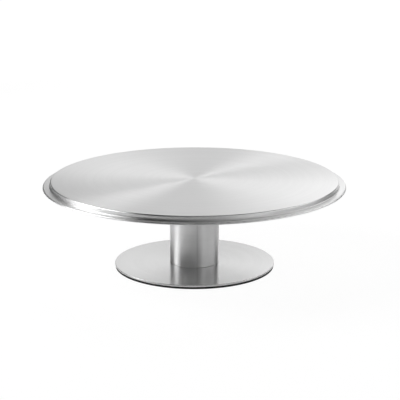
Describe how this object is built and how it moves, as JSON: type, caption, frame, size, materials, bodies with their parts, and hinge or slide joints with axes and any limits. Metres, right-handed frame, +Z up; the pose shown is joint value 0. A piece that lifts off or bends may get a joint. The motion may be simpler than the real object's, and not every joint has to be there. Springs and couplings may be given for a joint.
{
  "type": "cake turntable",
  "caption": "Brushed stainless steel cake turntable: a flat round plate with a stepped rim turns on a short tube column over a thin round base with an anti-slip mat.",
  "frame": {"origin": "centre of the underside, on the surface that the turntable stands on", "axes": "+Z up along the axis that the plate turns about; X and Y lie in the ground plane"},
  "size_m": [0.31, 0.31, 0.0925],
  "materials": {
    "brushed_plate": "lathe-brushed stainless steel",
    "brushed_base": "lathe-brushed stainless steel with a polish",
    "tube_steel": "satin-polished stainless tube",
    "turned_steel": "turned steel, as machined",
    "bearing_steel": "ground bearing steel",
    "zinc_fastener": "zinc-plated steel",
    "spring_steel": "blackened spring steel",
    "cage_nylon": "natural nylon",
    "mat_rubber": "black anti-slip rubber, matt"
  },
  "bodies": {
    "pedestal": {"anti_slip_mat": "mat_rubber", "base_disc": "brushed_base", "base_screws": "zinc_fastener", "column_foot": "turned_steel", "column_tube": "tube_steel", "bearing_housing": "turned_steel", "outer_spacer_ring": "turned_steel", "retaining_circlip": "spring_steel", "lower_bearing_outer_ring": "bearing_steel", "upper_bearing_outer_ring": "bearing_steel", "lower_bearing_shields": "bearing_steel", "upper_bearing_shields": "bearing_steel"},
    "turntable": {"turntable_plate": "brushed_plate", "plate_hub": "turned_steel", "weld_studs": "zinc_fastener", "stud_washers": "zinc_fastener", "stud_nuts": "zinc_fastener", "spindle": "turned_steel", "inner_spacer_sleeve": "turned_steel", "spindle_washer": "zinc_fastener", "spindle_nut": "zinc_fastener", "lower_bearing_inner_ring": "bearing_steel", "upper_bearing_inner_ring": "bearing_steel"},
    "lower_ball_set": {"lower_bearing_cage": "cage_nylon", "lower_bearing_balls": "bearing_steel"},
    "upper_ball_set": {"upper_bearing_cage": "cage_nylon", "upper_bearing_balls": "bearing_steel"}
  },
  "joints": [
    {"name": "plate_spin", "type": "hinge", "parent": "pedestal", "child": "turntable", "pos_m": [0, 0, 0.0885], "axis": [0, 0, 1], "continuous": true},
    {"name": "lower_ball_set_spin", "type": "hinge", "parent": "pedestal", "child": "lower_ball_set", "pos_m": [0, 0, 0.0605], "axis": [0, 0, 1], "continuous": true},
    {"name": "upper_ball_set_spin", "type": "hinge", "parent": "pedestal", "child": "upper_ball_set", "pos_m": [0, 0, 0.0775], "axis": [0, 0, 1], "continuous": true}
  ],
  "couplings": [
    {"joint": "lower_ball_set_spin", "follows": "plate_spin", "ratio": 0.3987},
    {"joint": "upper_ball_set_spin", "follows": "plate_spin", "ratio": 0.3987}
  ]
}
